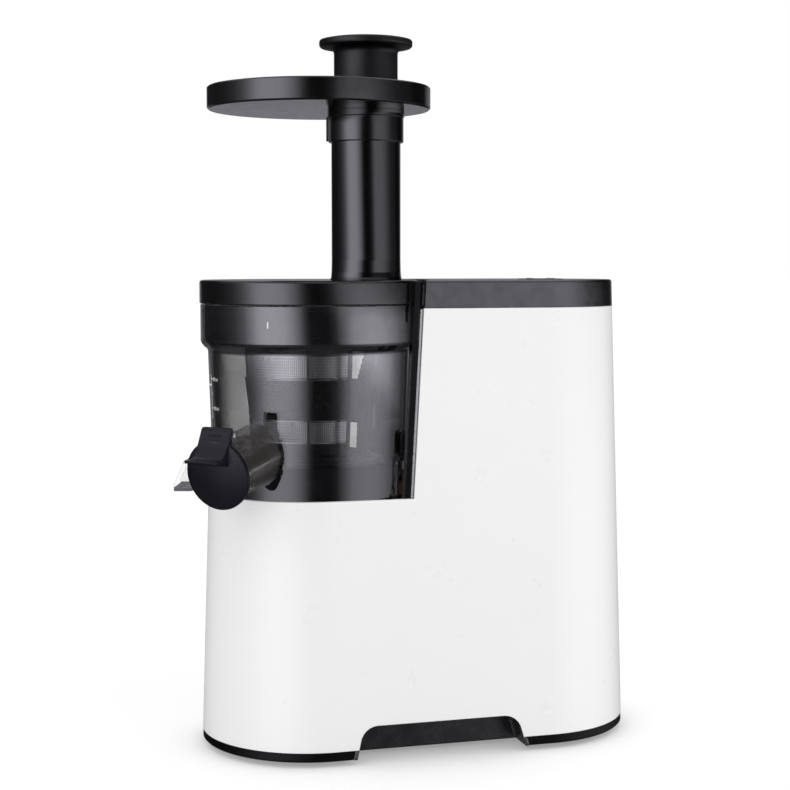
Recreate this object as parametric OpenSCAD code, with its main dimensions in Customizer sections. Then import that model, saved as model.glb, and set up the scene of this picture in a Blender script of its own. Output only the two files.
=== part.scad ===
// Vertical slow juicer: a tall lift-off bowl with auger and strainer in front,
// a motor tower with its reduction gear behind and below it.
// Millimetres, +Z up, -X is the front (outlets), the floor is z = 0.

/* [Body] */
// Half width of the body at the floor
body_rb = 74.5; // [70:0.5:80]
// Half width of the body at its top
body_rt = 64.5; // [62:0.5:68]
// Height of the body
body_h = 316.9; // [310:0.1:320]
// Distance between the centres of the two round ends
body_len = 152.2; // [148:0.1:160]
// Wall thickness of the housing
wall = 2.6; // [2:0.1:3.5]
// Height of the ledge that carries the bowl
ledge_z = 174; // [173.5:0.1:175]
// Bore of the cord gland, radius
cord_r = 3.6; // [3:0.1:4.5]

/* [Bowl] */
// Outer radius of the bowl at its foot
bowl_r0 = 66; // [64:0.1:66.2]
// Outer radius of the bowl under its rim band
bowl_r1 = 68.6; // [68:0.1:69]
// Outer radius of the rim band
band_r = 73.5; // [72:0.1:73.8]
// Height of the bowl's lower edge
bowl_z0 = 173; // [173:0.1:173.4]
// Height of the rim
bowl_z1 = 300.6; // [300:0.1:301]

/* [Lid and tray] */
// Radius of the lid
lid_r = 74; // [73:0.1:75]
// Outer radius of the feed tube
tube_r = 23.6; // [23:0.1:24.5]
// Distance of the feed tube from the bowl's axis
tube_x = 40.4; // [39:0.1:42]
// Top of the feed tube
tube_z = 446.4; // [440:0.1:450]
// Radius of the tray
tray_r = 75.4; // [70:0.1:78]

/* [Hidden] */
// Bowl axis, measured from the centre of the object's footprint
ox = -63.47;
oy = 12.85;
$fn = 96;

// Gear train: motor pinion 14 / 56 at module 1.25, then 18 / 66 at module 1.75
m1 = 1.25; m2 = 1.75; m3 = 1.5;
c1 = m1 * (14 + 56) / 2;
c2 = m2 * (18 + 66) / 2;
mid_x = c2;
mot_x = c1 + c2;

function R(z) = body_rb + (body_rt - body_rb) * z / body_h;
// Slanted front edge of the housing's rear half, seen from the side
function xc(z) = 54.4 + 0.063 * (z - 174);

module at() { translate([ox, oy, 0]) children(); }
module cyl(r, z0, z1) { translate([0, 0, z0]) cylinder(r = r, h = z1 - z0); }
module ring(ro, ri, z0, z1) { translate([0, 0, z0]) rotate_extrude() translate([ri, 0]) square([ro - ri, z1 - z0]); }
module box(x0, x1, y0, y1, z0, z1) { translate([x0, y0, z0]) cube([x1 - x0, y1 - y0, z1 - z0]); }
// A shape drawn in the X-Z plane, spread evenly to both sides of it
module side_cut(pts, w = 200) { rotate([90, 0, 0]) translate([0, 0, -w / 2]) linear_extrude(height = w) polygon(pts); }
// A Y-Z profile run along X
module along_x(pts, x0, x1) { translate([x0, 0, 0]) rotate([90, 0, 90]) linear_extrude(height = x1 - x0) polygon(pts); }

// Tapered body with round ends, as a profile of [inset, z] points, closed against the middle
module stad_solid(q) {
  p = concat([[0, q[0][1]]], [for (a = q) [R(a[1]) - a[0], a[1]]], [[0, q[len(q) - 1][1]]]);
  rotate([0, 0, 90]) rotate_extrude(angle = 180) polygon(p);
  translate([body_len, 0, 0]) rotate([0, 0, -90]) rotate_extrude(angle = 180) polygon(p);
  s = [for (a = q) [R(a[1]) - a[0], a[1]]];
  along_x(concat(s, [for (i = [len(s) - 1:-1:0]) [-s[i][0], s[i][1]]]), 0, body_len);
}
// The same as a wall, between the outer profile q and the inner profile k
module stad_wall(q, k) {
  p = concat([for (a = q) [R(a[1]) - a[0], a[1]]], [for (i = [len(k) - 1:-1:0]) [R(k[i][1]) - k[i][0], k[i][1]]]);
  rotate([0, 0, 90]) rotate_extrude(angle = 180) polygon(p);
  translate([body_len, 0, 0]) rotate([0, 0, -90]) rotate_extrude(angle = 180) polygon(p);
  along_x(p, 0, body_len);
  along_x([for (a = p) [-a[0], a[1]]], 0, body_len);
}

// Points of an arc
function arc(cx, cy, r, a0, a1, n) = [for (i = [0:n]) [cx + r * cos(a0 + (a1 - a0) * i / n), cy + r * sin(a0 + (a1 - a0) * i / n)]];
// Outline of the hand grips, grown by e
function grip_pts(e) = concat(
  [[13.2 - e, -1]],
  arc(28.5, 13.5, 12 + e, 172, 92, 6),
  arc(116, 12.5, 13 + e, 88, 10, 6),
  [[133.3 + e, -1]]);

// Involute gear outline: z teeth, module m, addendum a and dedendum d in modules, b thins each tooth (mm), ph turns it
function inv(t) = tan(t) * 180 / PI - t;
function flank_a(r, rb) = r <= rb ? 0 : inv(acos(rb / r));
function gear_pts(z, m, a, d, b, ph) =
  let (r = m * z / 2, rb = r * cos(20), ra = r + a * m, rf = r - d * m, half = 90 / z + inv(20) - b / r * 90 / PI,
    rs = max(rb, rf), n = 5, rr = [for (i = [0:n]) rs + (ra - rs) * i / n])
  [for (k = [0:z - 1]) each concat(
    [[rf * cos(ph + k * 360 / z - 180 / z * 0.98), rf * sin(ph + k * 360 / z - 180 / z * 0.98)]],
    [[rf * cos(ph + k * 360 / z - half), rf * sin(ph + k * 360 / z - half)]],
    [for (q = rr) [q * cos(ph + k * 360 / z - half + flank_a(q, rb)), q * sin(ph + k * 360 / z - half + flank_a(q, rb))]],
    [for (i = [n:-1:0]) [rr[i] * cos(ph + k * 360 / z + half - flank_a(rr[i], rb)), rr[i] * sin(ph + k * 360 / z + half - flank_a(rr[i], rb))]],
    [[rf * cos(ph + k * 360 / z + half), rf * sin(ph + k * 360 / z + half)]])];
module gear(z, m, z0, z1, ph = 0, a = 0.8, d = 1.05, b = 0.12) { translate([0, 0, z0]) linear_extrude(height = z1 - z0) polygon(gear_pts(z, m, a, d, b, ph)); }

// ---------------------------------------------------------------- housing
module screw(x, y, z, l, r = 1.7, hr = 3.1) {
  translate([x, y, 0]) difference() {
    union() { cyl(r, z, z + l); cyl(hr, z - 2.2, z); }
    for (a = [0, 90]) rotate([0, 0, a]) box(-2, 2, -0.4, 0.4, z - 3, z - 1.2);
  }
}
base_bosses = [[-43.1, -51.3], [-43.1, 51.3], [195.3, -51.3], [195.3, 51.3], [2, -67], [2, 67]];
gear_posts = [[-40, -30], [-40, 30], [134, -34], [134, 34]];
feet_at = [[-36, -37], [-36, 37], [186, -37], [186, 37]];

module grip_hole(e, d) {
  for (s = [-1, 1]) translate([0, s > 0 ? 160 : -d, 0]) rotate([90, 0, 0]) linear_extrude(height = 160 - d) polygon(grip_pts(e));
}

module outer_shell() {
  color("white") at() union() {
    difference() {
      stad_wall([[0, 10.1], [0, 298.6]], [[wall, 10.1], [wall, 298.6]]);
      side_cut([[-120, ledge_z], [xc(ledge_z), ledge_z], [xc(310), 310], [-120, 310]]);
      grip_hole(0, 50);
      translate([200, 0, 30]) rotate([0, 90, 0]) cylinder(r = 8.2, h = 40);
    }
    for (b = base_bosses) translate([b[0], b[1], 0]) ring(4.6, 1.4, 14.5, 34);
  }
}

module top_cover() {
  color([0.09, 0.09, 0.1]) at() difference() {
    union() {
      stad_wall([[0, 298.8], [0, 315.5], [0.45, 316.5], [1.4, 316.9]], [[wall, 298.8], [wall, 314.2], [4, 316.9]]);
      stad_solid([[1.9, 314.2], [1.9, 316.9]]);
      stad_wall([[2.9, 293.5], [2.9, 299.5]], [[4.9, 293.5], [4.9, 299.5]]);
      stad_wall([[2.2, 298.8], [2.2, 300.5]], [[4.9, 298.8], [4.9, 300.5]]);
      difference() { cyl(86.2, 300.5, 315); cyl(83.2, 290, 320); box(-100, 61.2, -100, 100, 290, 320); box(60, 120, 60.5, 100, 290, 320); box(60, 120, -100, -60.5, 290, 320); }
    }
    side_cut([[-120, 290], [xc(290) + 0.7, 290], [xc(320) + 0.7, 320], [-120, 320]]);
    cyl(83.2, 290, 320);
    box(156.4, 179.6, -8.6, 8.6, 300, 330);
  }
}

module bowl_cradle() {
  color([0.07, 0.07, 0.08]) at() difference() {
    union() {
      // concave wall behind the bowl
      intersection() {
        difference() { cyl(82.4, 166, 316.3); cyl(79, 160, 320); }
        along_x([[R(166) - 2.9, 166], [R(ledge_z + 0.4) - 2.9, ledge_z + 0.4], [R(ledge_z + 0.4) - 1.5, ledge_z + 0.4], [R(316.3) - 1.5, 316.3], [-(R(316.3) - 1.5), 316.3], [-(R(ledge_z + 0.4) - 1.5), ledge_z + 0.4], [-(R(ledge_z + 0.4) - 2.9), ledge_z + 0.4], [-(R(166) - 2.9), 166]], 40, 100);
      }
      // side rims in line with the housing, with the tongue that the housing hooks over
      difference() {
        union() {
          for (s = [-1, 1]) {
            along_x([[s * (R(ledge_z + 0.4) - 0.4), ledge_z + 0.4], [s * (R(316.3) - 0.4), 316.3], [s * (R(316.3) - 3.2), 316.3], [s * (R(ledge_z + 0.4) - 3.2), ledge_z + 0.4]], 40, 58.4);
            along_x([[s * (R(166) - 2.9), 166], [s * (R(292) - 2.9), 292], [s * (R(292) - 5.1), 292], [s * (R(166) - 5.1), 166]], 40, 70);
          }
        }
        for (s = [1]) side_cut([[xc(292) - 2.4 + 0.063 * 24, 316.4], [xc(292) - 2.4, 292.05], [xc(292) + 7, 292.05], [xc(292) + 7, 290], [200, 290], [200, 330], [xc(330) - 2.4, 330]]);
        difference() {
          side_cut([[xc(100) - 2.4, 100], [xc(330) - 2.4, 330], [200, 330], [200, 100]]);
          side_cut([[0, 100], [200, 100], [200, 292.1], [0, 292.1]], 2 * (R(292) - 2.85));
          along_x([[R(160) - 2.85, 160], [R(292.1) - 2.85, 292.1], [-(R(292.1) - 2.85), 292.1], [-(R(160) - 2.85), 160]], 0, 100);
        }
      }
      // front plates between the side rims and the concave wall
      intersection() {
        side_cut([[xc(166) - 6.4, 166], [xc(316.3) - 6.4, 316.3], [xc(316.3) - 3.4, 316.3], [xc(166) - 3.4, 166]]);
        along_x([[R(166) - 3, 166], [R(ledge_z + 0.4) - 3, ledge_z + 0.4], [R(ledge_z + 0.4) - 0.4, ledge_z + 0.4], [R(316.3) - 0.4, 316.3], [-(R(316.3) - 0.4), 316.3], [-(R(ledge_z + 0.4) - 0.4), ledge_z + 0.4], [-(R(ledge_z + 0.4) - 3), ledge_z + 0.4], [-(R(166) - 3), 166]], 20, 90);
      }
      // deck under the bowl
      rotate([0, 0, 90]) rotate_extrude(angle = 180) polygon([[0, 166], [R(166) - 3, 166], [R(173) - 3, 173], [0, 173]]);
      along_x([[R(166) - 3, 166], [R(173) - 3, 173], [-(R(173) - 3), 173], [-(R(166) - 3), 166]], 0, 80);
      ring(22, 17.2, 160, 174.8);
      for (a = [75, 195, 285]) rotate([0, 0, a]) box(56.5, 62, -6, 6, 172, 178);
    }
    difference() { cyl(79, 173, 320); cyl(22, 172, 178.5); for (a = [75, 195, 285]) rotate([0, 0, a]) box(56.5, 62, -6, 6, 172, 178); }
    side_cut([[-10, 173.02], [xc(173) - 6.4, 173.02], [xc(320) - 6.4, 320], [-10, 320]], 300);
    cyl(17.2, 150, 190);
    difference() { box(70, 110, -100, 100, 150, 173.05); cyl(82.4, 140, 180); }
  }
}

module cradle_trim() {
  color([0.55, 0.55, 0.56]) at() for (s = [-1, 1]) intersection() {
    side_cut([[xc(ledge_z + 0.6) - 2.2, ledge_z + 0.6], [xc(298) - 2.2, 298], [xc(298) - 1, 298], [xc(ledge_z + 0.6) - 1, ledge_z + 0.6]]);
    along_x([[s * (R(170) - 2.8), 170], [s * (R(300) - 2.8), 300], [s * (R(300) + 0.1), 300], [s * (R(170) + 0.1), 170]], 20, 90);
  }
}

module base_plate() {
  color([0.08, 0.08, 0.09]) at() difference() {
    union() {
      stad_solid([[1.4, 3.7], [0.3, 4.8], [0.3, 6.9]]);
      stad_wall([[0.3, 6.8], [0.3, 10]], [[3.4, 6.8], [3.4, 10]]);
      stad_wall([[2.9, 9.9], [2.9, 14]], [[5, 9.9], [5, 14]]);
      stad_wall([[2.9, 6.8], [2.9, 10.2]], [[5, 6.8], [5, 10.2]]);
      for (p = gear_posts) translate([p[0], p[1], 0]) cyl(5.5, 6, 40);
      for (p = base_bosses) translate([p[0], p[1], 0]) { cyl(5.2, 6, 9.6); cyl(4.2, 9, 14.2); }
    }
    grip_hole(2.6, 51.4);
    for (p = base_bosses) translate([p[0], p[1], 0]) { cyl(1.9, 0, 20); cyl(3.5, 0, 8); }
    for (p = gear_posts) translate([p[0], p[1], 0]) cyl(1.3, 24, 50);
    for (p = feet_at) translate([p[0], p[1], 0]) cyl(9.2, 0, 5.4);
    for (i = [-4:4]) translate([0, i * 8, 0]) box(148, 176, -1.6, 1.6, 0, 10);
  }
}

module grip_liners() {
  color([0.06, 0.06, 0.07]) at() difference() {
    intersection() {
      grip_hole(2.4, 51.6);
      difference() {
        along_x([[R(3.8) - 0.1, 3.8], [R(30) - 0.1, 30], [-(R(30) - 0.1), 30], [-(R(3.8) - 0.1), 3.8]], 5, 145);
        box(0, 150, -51.6, 51.6, 0, 40);
      }
    }
    grip_hole(-0.2, 54);
    // outside of the arch the lining stays behind the housing
    difference() {
      for (s = [-1, 1]) along_x([[s * (R(10.2) - wall - 0.3), 10.0], [s * (R(40) - wall - 0.3), 40], [s * 90, 40], [s * 90, 10.0]], 0, 150);
      grip_hole(-0.19, 40);
    }
    difference() {
      box(0, 150, -100, 100, 0, 10.05);
      grip_hole(2.3, 20);
    }
  }
}

module feet() {
  color([0.16, 0.16, 0.17]) at() for (p = feet_at) translate([p[0], p[1], 0])
    rotate_extrude() polygon([[0, 0], [7.6, 0], [8.4, 0.8], [9, 5.4], [0, 5.4]]);
}

module base_screws() { color("silver") at() for (p = base_bosses) screw(p[0], p[1], 8, 14, 1.4, 3.1); }

// ---------------------------------------------------------------- gearbox
module gearbox_case() {
  color([0.3, 0.31, 0.33]) at() difference() {
    union() {
      cyl(63.2, 40, 84);
      box(20, 150, -44, 44, 40, 84);
      for (p = case_screws) translate([p[0], p[1], 0]) cyl(3.8, 60, 84);
    }
    difference() {
      union() { cyl(60.4, 43, 100); box(20, 147, -41, 41, 43, 100); }
      for (p = case_screws) translate([p[0], p[1], 0]) cyl(3.8, 60, 84);
    }
    cyl(9.5, 30, 60);
    translate([mid_x, 0, 0]) cyl(4, 30, 60);
    for (p = gear_posts) translate([p[0], p[1], 0]) cyl(1.9, 30, 50);
    for (p = case_screws) translate([p[0], p[1], 0]) cyl(1.3, 60, 90);
  }
}
case_screws = [[144, -38.5], [144, 38.5], [-45.7, -45.7], [-45.7, 45.7]];

module gearbox_cover() {
  color([0.36, 0.37, 0.39]) at() difference() {
    union() {
      cyl(63.2, 84, 87);
      box(20, 150, -44, 44, 84, 87);
      for (p = case_screws) translate([p[0], p[1], 0]) cyl(3.8, 84, 87);
      cyl(15, 86, 96);
      translate([mid_x, 0, 0]) cyl(9, 76.6, 86);
    }
    cyl(9.5, 70, 100);
    translate([mid_x, 0, 0]) cyl(4, 60, 83);
    translate([mot_x, 0, 0]) cyl(12.5, 70, 100);
    for (p = case_screws) translate([p[0], p[1], 0]) cyl(1.8, 70, 100);
    for (p = motor_posts) translate([p[0], p[1], 0]) cyl(1.3, 70, 100);
  }
}
motor_posts = [[mot_x - 24, -24], [mot_x - 24, 24], [mot_x + 24, -24], [mot_x + 24, 24]];

module gearbox_screws() {
  color("silver") at() for (p = case_screws) translate([p[0], p[1], 0]) difference() {
    union() { cyl(1.3, 74, 87); cyl(2.9, 87, 89.2); }
    for (a = [0, 90]) rotate([0, 0, a]) box(-2, 2, -0.4, 0.4, 88.2, 90);
  }
}

module output_bushes() {
  color([0.72, 0.52, 0.28]) at() {
    ring(9.5, 6.04, 40, 49.5);
    ring(9.5, 6.04, 84, 96);
  }
}

module mid_pin() { color("silver") at() translate([mid_x, 0, 0]) cyl(4, 40, 83); }

module shaft_seal() {
  color([0.75, 0.2, 0.15]) at() union() { ring(17.2, 6.6, 168, 172); ring(10, 6.1, 171.5, 176); }
}

// ---------------------------------------------------------------- motor
module motor_stator() {
  color([0.5, 0.5, 0.52]) at() translate([mot_x, 0, 0]) difference() {
    union() { cyl(30.5, 122, 166); for (a = [45, 135, 225, 315]) rotate([0, 0, a]) box(24, 37.5, -5, 5, 122, 166); }
    cyl(13.6, 110, 180);
    for (a = [0:45:315]) rotate([0, 0, a]) box(15.5, 24.5, -3.2, 3.2, 110, 180);
    for (a = [0:45:315]) rotate([0, 0, a]) box(10, 17, -1.2, 1.2, 110, 180);
    for (a = [45, 135, 225, 315]) rotate([0, 0, a]) translate([33.94, 0, 0]) cyl(1.9, 110, 180);
  }
}
module motor_windings() {
  color([0.72, 0.38, 0.18]) at() translate([mot_x, 0, 0]) {
    rotate_extrude() polygon([[16, 114], [23, 114], [25, 116], [25, 122], [16, 122]]);
    rotate_extrude() polygon([[16, 166], [25, 166], [25, 172], [23, 174], [16, 174]]);
  }
}
module motor_bearing(z) { translate([mot_x, 0, 0]) ring(8, 3.04, z, z + 6); }
module motor_brackets() {
  color([0.42, 0.43, 0.45]) at() union() {
    // lower bracket
    difference() {
      union() {
        translate([mot_x, 0, 0]) cyl(12, 98, 108);
        for (a = [45, 135, 225, 315]) translate([mot_x, 0, 0]) rotate([0, 0, a]) box(9, 36, -5, 5, 101, 107);
        for (p = motor_posts) translate([p[0], p[1], 0]) cyl(5, 87, 122);
      }
      translate([mot_x, 0, 0]) { cyl(8, 102, 112); cyl(5, 90, 112); }
      for (p = motor_posts) translate([p[0], p[1], 0]) cyl(1.9, 80, 130);
    }
    // upper bracket
    difference() {
      union() {
        translate([mot_x, 0, 0]) cyl(12, 180, 190);
        for (a = [45, 135, 225, 315]) translate([mot_x, 0, 0]) rotate([0, 0, a]) box(9, 36, -5, 5, 181, 187);
        for (p = motor_posts) translate([p[0], p[1], 0]) cyl(5, 166, 187);
      }
      translate([mot_x, 0, 0]) { cyl(8, 176, 186); cyl(5, 170, 200); }
      for (p = motor_posts) translate([p[0], p[1], 0]) cyl(1.9, 160, 200);
    }
  }
}
module motor_bearings() { color([0.7, 0.7, 0.72]) at() { motor_bearing(102); motor_bearing(180); } }
module motor_screws() {
  color("silver") at() for (p = motor_posts) translate([p[0], p[1], 0]) union() { cyl(1.3, 84, 188); cyl(3, 187, 189.5); }
}

module motor_shaft() { color("silver") at() translate([mot_x, 0, 0]) cyl(3, 63, 208); }
module rotor_core() {
  color([0.45, 0.45, 0.47]) at() translate([mot_x, 0, 0]) difference() {
    cyl(13, 122, 166);
    cyl(3.02, 100, 190);
    for (a = [0:30:330]) rotate([0, 0, a]) translate([10.6, 0, 0]) cyl(1, 110, 180);
  }
}
module motor_pinion() {
  color([0.7, 0.68, 0.6]) at() translate([mot_x, 0, 0]) difference() {
    union() { gear(14, m1, 64, 78, 180 / 14); cyl(6.4, 77.9, 82); }
    cyl(3.02, 50, 90);
  }
}
module motor_fan() {
  color([0.15, 0.15, 0.16]) at() translate([mot_x, 0, 0]) difference() {
    union() {
      cyl(7, 193, 207);
      cyl(27, 193, 194.6);
      for (a = [0:40:320]) rotate([0, 0, a]) box(6, 26.5, -0.8, 0.8, 194, 206);
    }
    cyl(3.02, 180, 220);
  }
}

// ---------------------------------------------------------------- reduction
module mid_gear() {
  color([0.85, 0.82, 0.72]) at() translate([mid_x, 0, 0]) difference() {
    union() {
      gear(56, m1, 66, 76, 0);
      gear(18, m2, 49, 66.1, 180 + 180 / 18);
      cyl(9, 43.6, 49.2);
    }
    cyl(4.04, 40, 90);
    for (a = [0:60:300]) rotate([0, 0, a]) translate([24, 0, 0]) cyl(6.4, 64, 80);
  }
}
module output_gear() {
  color([0.6, 0.6, 0.58]) at() difference() {
    union() { gear(66, m2, 51, 62, 0); cyl(13, 50, 66); }
    cyl(6.02, 40, 90);
    for (a = [0:45:315]) rotate([0, 0, a]) translate([34, 0, 0]) cyl(10.2, 40, 80);
  }
}
module drive_shaft() {
  color("silver") at() union() { cyl(6, 41, 203); translate([0, 0, 202]) cylinder(r = 7, h = 26, $fn = 6); }
}

// ---------------------------------------------------------------- electrics
module control_board() { color([0.1, 0.35, 0.2]) at() difference() { box(190, 191.6, -34, 34, 60, 150); for (y = [-30, 30], z = [64, 146]) translate([180, y, z]) rotate([0, 90, 0]) cylinder(r = 1.7, h = 20); } }
module board_parts() {
  color([0.2, 0.2, 0.22]) at() {
    translate([191.6, -16, 120]) rotate([0, 90, 0]) cylinder(r = 9, h = 17);
    translate([191.6, 12, 112]) cube([14, 16, 24]);
    translate([191.6, -26, 72]) cube([11, 24, 14]);
    translate([191.6, 10, 72]) cube([12, 14, 20]);
    for (y = [-30, 30]) translate([0, y, 0]) box(184, 190, -3.5, 3.5, 60, 68);
  }
}
module switch_body() {
  color([0.05, 0.05, 0.06]) at() difference() {
    union() { box(157, 179, -8, 8, 292, 316.2); box(155, 181, -10, 10, 316.9, 317.4); box(156.6, 179.4, -8.4, 8.4, 315.5, 317.2); for (x = [161, 168, 175]) box(x - 1.5, x + 1.5, -4, 4, 285, 292); }
    box(158.6, 177.4, -6.4, 6.4, 303, 320);
    translate([168, 0, rock_z]) rotate([90, 0, 0]) cylinder(r = 1.54, h = 15.6, center = true);
  }
}
rock_z = 309.8;
module switch_rocker() {
  color([0.03, 0.03, 0.035]) at() translate([168, 0, rock_z]) union() {
    rotate([90, 0, 0]) translate([0, 0, -6.1]) linear_extrude(height = 12.2)
      polygon(concat([[-7.9, 3], [-8.1, 7.9]], arc(0, 36, 29.2, 254.5, 285.5, 6), [[8.1, 7.9], [7.9, 3], [3, -4], [-3, -4]]));
    rotate([90, 0, 0]) cylinder(r = 1.5, h = 15, center = true);
  }
}
module cord_gland() {
  color([0.06, 0.06, 0.07]) at() translate([0, 0, 30]) rotate([0, 90, 0]) difference() {
    union() {
      translate([0, 0, 212]) cylinder(r = 8, h = 13.6);
      translate([0, 0, 212]) cylinder(r = 10.5, h = 7.5);
    }
    translate([0, 0, 200]) cylinder(r = cord_r, h = 40);
  }
}

// ---------------------------------------------------------------- bowl
spout_az = 226; spout_tilt = 100.3;
// Hinge pin of the spout cap in the spout's own frame
pin_x = -22.8; pin_s = 37;
chute_az = 161.8;
module at_spout() { translate([-43.7, -43.9, 204.1]) rotate([0, spout_tilt, spout_az]) children(); }

module juice_bowl() {
  color([0.3, 0.3, 0.32, 0.5]) at() difference() {
    union() {
      rotate_extrude() polygon(concat(
        [[bowl_r0, bowl_z0], [67.2, 225], [bowl_r1, 268]],
        arc(bowl_r1 + 3.6, 268.6, 3.6, 175, 108, 4),
        [[band_r - 0.5, 274.6], [band_r, 276], [band_r, bowl_z1 - 0.4], [band_r - 0.4, bowl_z1], [20, bowl_z1], [20, 201], [8.6, 201], [8.6, 180], [12.4, 180], [12.4, 189], [63, 189], [63, bowl_z0]]));
      at_spout() translate([0, 0, -3]) rotate_extrude() polygon([[0, 0], [20.6, 0], [20.2, 8], [19.6, 22], [19.3, 40], [19.5, 44], [20.7, 45.4], [20.7, 47.9], [20.1, 48.5], [0, 48.5]]);
      // hinge ears of the spout cap
      at_spout() for (s = [-1, 1]) translate([pin_x, s * 6.2 - 1.4, pin_s - 3.2]) cube([5.6, 2.8, 6.4]);
      at_spout() for (s = [-1, 1]) translate([pin_x, s * 6.2, pin_s]) rotate([90, 0, 0]) cylinder(r = 3.2, h = 2.8, center = true);
      // pulp channel
      rotate([0, 0, chute_az]) side_cut([[16, 175.2], [71, 175.2], [80, 173.6], [91.2, 173.6], [91.2, 178.2], [84.6, 193.8], [60, 195.6], [16, 190]], 31);
    }
    at_spout() translate([0, 0, -16]) cylinder(r = 13, h = 40);
    at_spout() translate([0, 0, 12]) cylinder(r = 16.2, h = 40);
    rotate([0, 0, chute_az]) side_cut([[19, 177.6], [73, 177.6], [82, 176], [110, 176], [110, 191.3], [68, 193.2], [66.2, 189], [19, 189]], 27);
    rotate([0, 0, chute_az]) box(20.6, 34, -9, 9, 180, 200);
    at_spout() for (s = [-1, 1]) translate([pin_x, s * 6.2, pin_s]) rotate([90, 0, 0]) cylinder(r = 1.5, h = 4, center = true);
    // round inside, cut after the spout and the channel are joined on
    rotate_extrude() polygon([[12.4, 192], [63.2, 192], [64.2, 225], [65.6, 270], [70.6, 277], [70.6, 302], [12.4, 302]]);
    cyl(8.6, 160, 210);
  }
}
module hub_seal() { color([0.7, 0.7, 0.7]) at() ring(8.6, 7.4, 181, 186); }
module pulp_plug() {
  color([0.55, 0.55, 0.55]) at() rotate([0, 0, chute_az]) union() { box(36.2, 44.2, -13.4, 13.4, 177.6, 179.4); }
}
module idler_pin() { color("silver") at() translate([27, 0, 0]) cyl(3, 192, 200); }

module strainer_frame() {
  color([0.12, 0.12, 0.13]) at() difference() {
    union() {
      rotate_extrude() polygon([[42.4, 272.8], [44.2, 272.8], [45, 277], [70.2, 277], [70.2, 279.4], [42.4, 279.4]]);
      rotate_extrude() polygon([[39.75, 224.3], [40.6, 224.3], [43.9, 250.7], [41.5, 250.7]]);
      rotate_extrude() polygon([[17.6, 200.6], [39.6, 200.6], [39.6, 208], [38.1, 208], [38.1, 203.2], [17.6, 203.2]]);
      for (a = [76, 256]) rotate([0, 0, a]) side_cut([[38.3, 203], [39.6, 203], [44.1, 274], [42.4, 274]], 1.6);
      for (a = [125, 305]) rotate([0, 0, a]) rotate_extrude(angle = 44) polygon([[38.1, 203], [39.7, 203], [44.1, 274], [42.4, 274]]);
    }
    rotate([0, 0, chute_az]) box(20.6, 34, -9, 9, 190, 204);
    rotate_extrude() polygon([[0, 203.3], [38.05, 203.3], [42.35, 272], [42.35, 290], [0, 290]]);
  }
}
// Perforated steel cone, inside the frame's rings
module strainer_mesh() {
  color([0.75, 0.75, 0.76]) at() difference() {
    rotate_extrude() polygon([[37.5, 203.3], [38.0, 203.3], [42.3, 272], [42.3, 274.5], [41.8, 274.5]]);
  }
}

// ---------------------------------------------------------------- auger
module auger_screw() {
  color([0.13, 0.13, 0.14]) at() difference() {
    translate([0, 0, 203.6]) linear_extrude(height = 62, twist = -420, slices = 40, scale = 1.1)
      union() {
        circle(r = 21, $fn = 20);
        for (s = [0, 180]) rotate([0, 0, s]) polygon([[10, -5], [36.1, -2.2], [36.5, 0], [36.1, 2.2], [10, 5]]);
      }
    cyl(10.5, 200, 229);
    cyl(5.1, 228, 268);
  }
}
module auger_gear() {
  color([0.2, 0.2, 0.21]) at() difference() {
    union() { gear(24, m3, 193.4, 199.6, 0); cyl(16.2, 199.5, 203.6); }
    cyl(13.2, 190, 201.6);
    cyl(7.8, 190, 210);
  }
}
module auger_insert() {
  color("silver") at() difference() { cyl(10.5, 203.6, 229); translate([0, 0, 200]) cylinder(r = 7.3, h = 28.4, $fn = 6); cyl(7.31, 200, 202); }
}
module auger_tip() { color("silver") at() union() { cyl(5.1, 240, 268); rotate_extrude() polygon([[0, 267], [9, 267], [6, 271], [5, 272], [5, 287.4], [4, 288.4], [0, 288.4]]); } }

module idler_gear() { color([0.8, 0.78, 0.7]) at() translate([27, 0, 0]) difference() { gear(12, m3, 193.4, 199.4, 180 + 180 / 12); cyl(3.04, 190, 210); } }

module brush_frame() {
  color([0.14, 0.14, 0.15]) at() union() {
    difference() {
      union() { cyl(41.6, 193.2, 199.4); cyl(50.5, 193.2, 196); }
      translate([0, 0, 190]) linear_extrude(height = 20) polygon(gear_pts(48, m3, 1.15, 0.6, -0.12, 180 / 48));
    }
    for (a = [brush_az, brush_az + 180]) rotate([0, 0, a]) side_cut([[44.6, 195], [48, 195], [52.4, 272.2], [52.4, 275.4], [48.4, 275.4], [48.4, 272.2]], 3);
    ring(52.4, 48.4, 272.2, 275.4);
  }
}
brush_az = 291;
// Outer face of the brush's arms
function arm_r(z) = 48 + 4.4 * (z - 195) / 77.2;
// Toothed wiper: outer edge saw-cut by t between two heights
function teeth(r0, z0, r1, z1, n, t) = [for (i = [0:2 * n]) [r0 + (r1 - r0) * i / (2 * n) - (i % 2) * t, z0 + (z1 - z0) * i / (2 * n)]];
module brush_blades() {
  color([0.78, 0.78, 0.76]) at() for (a = [brush_az, brush_az + 180]) rotate([0, 0, a]) {
    side_cut(concat([[arm_r(252.6), 252.6]], teeth(56.2, 252.6, 64, 270.6, 5, 1.1), [[arm_r(270.6), 270.6]]), 1.4);
    side_cut(concat([[arm_r(207), 207]], teeth(54.6, 207, 55.6, 223.4, 4, 0.9), [[arm_r(223.4), 223.4]]), 1.4);
  }
}

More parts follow.
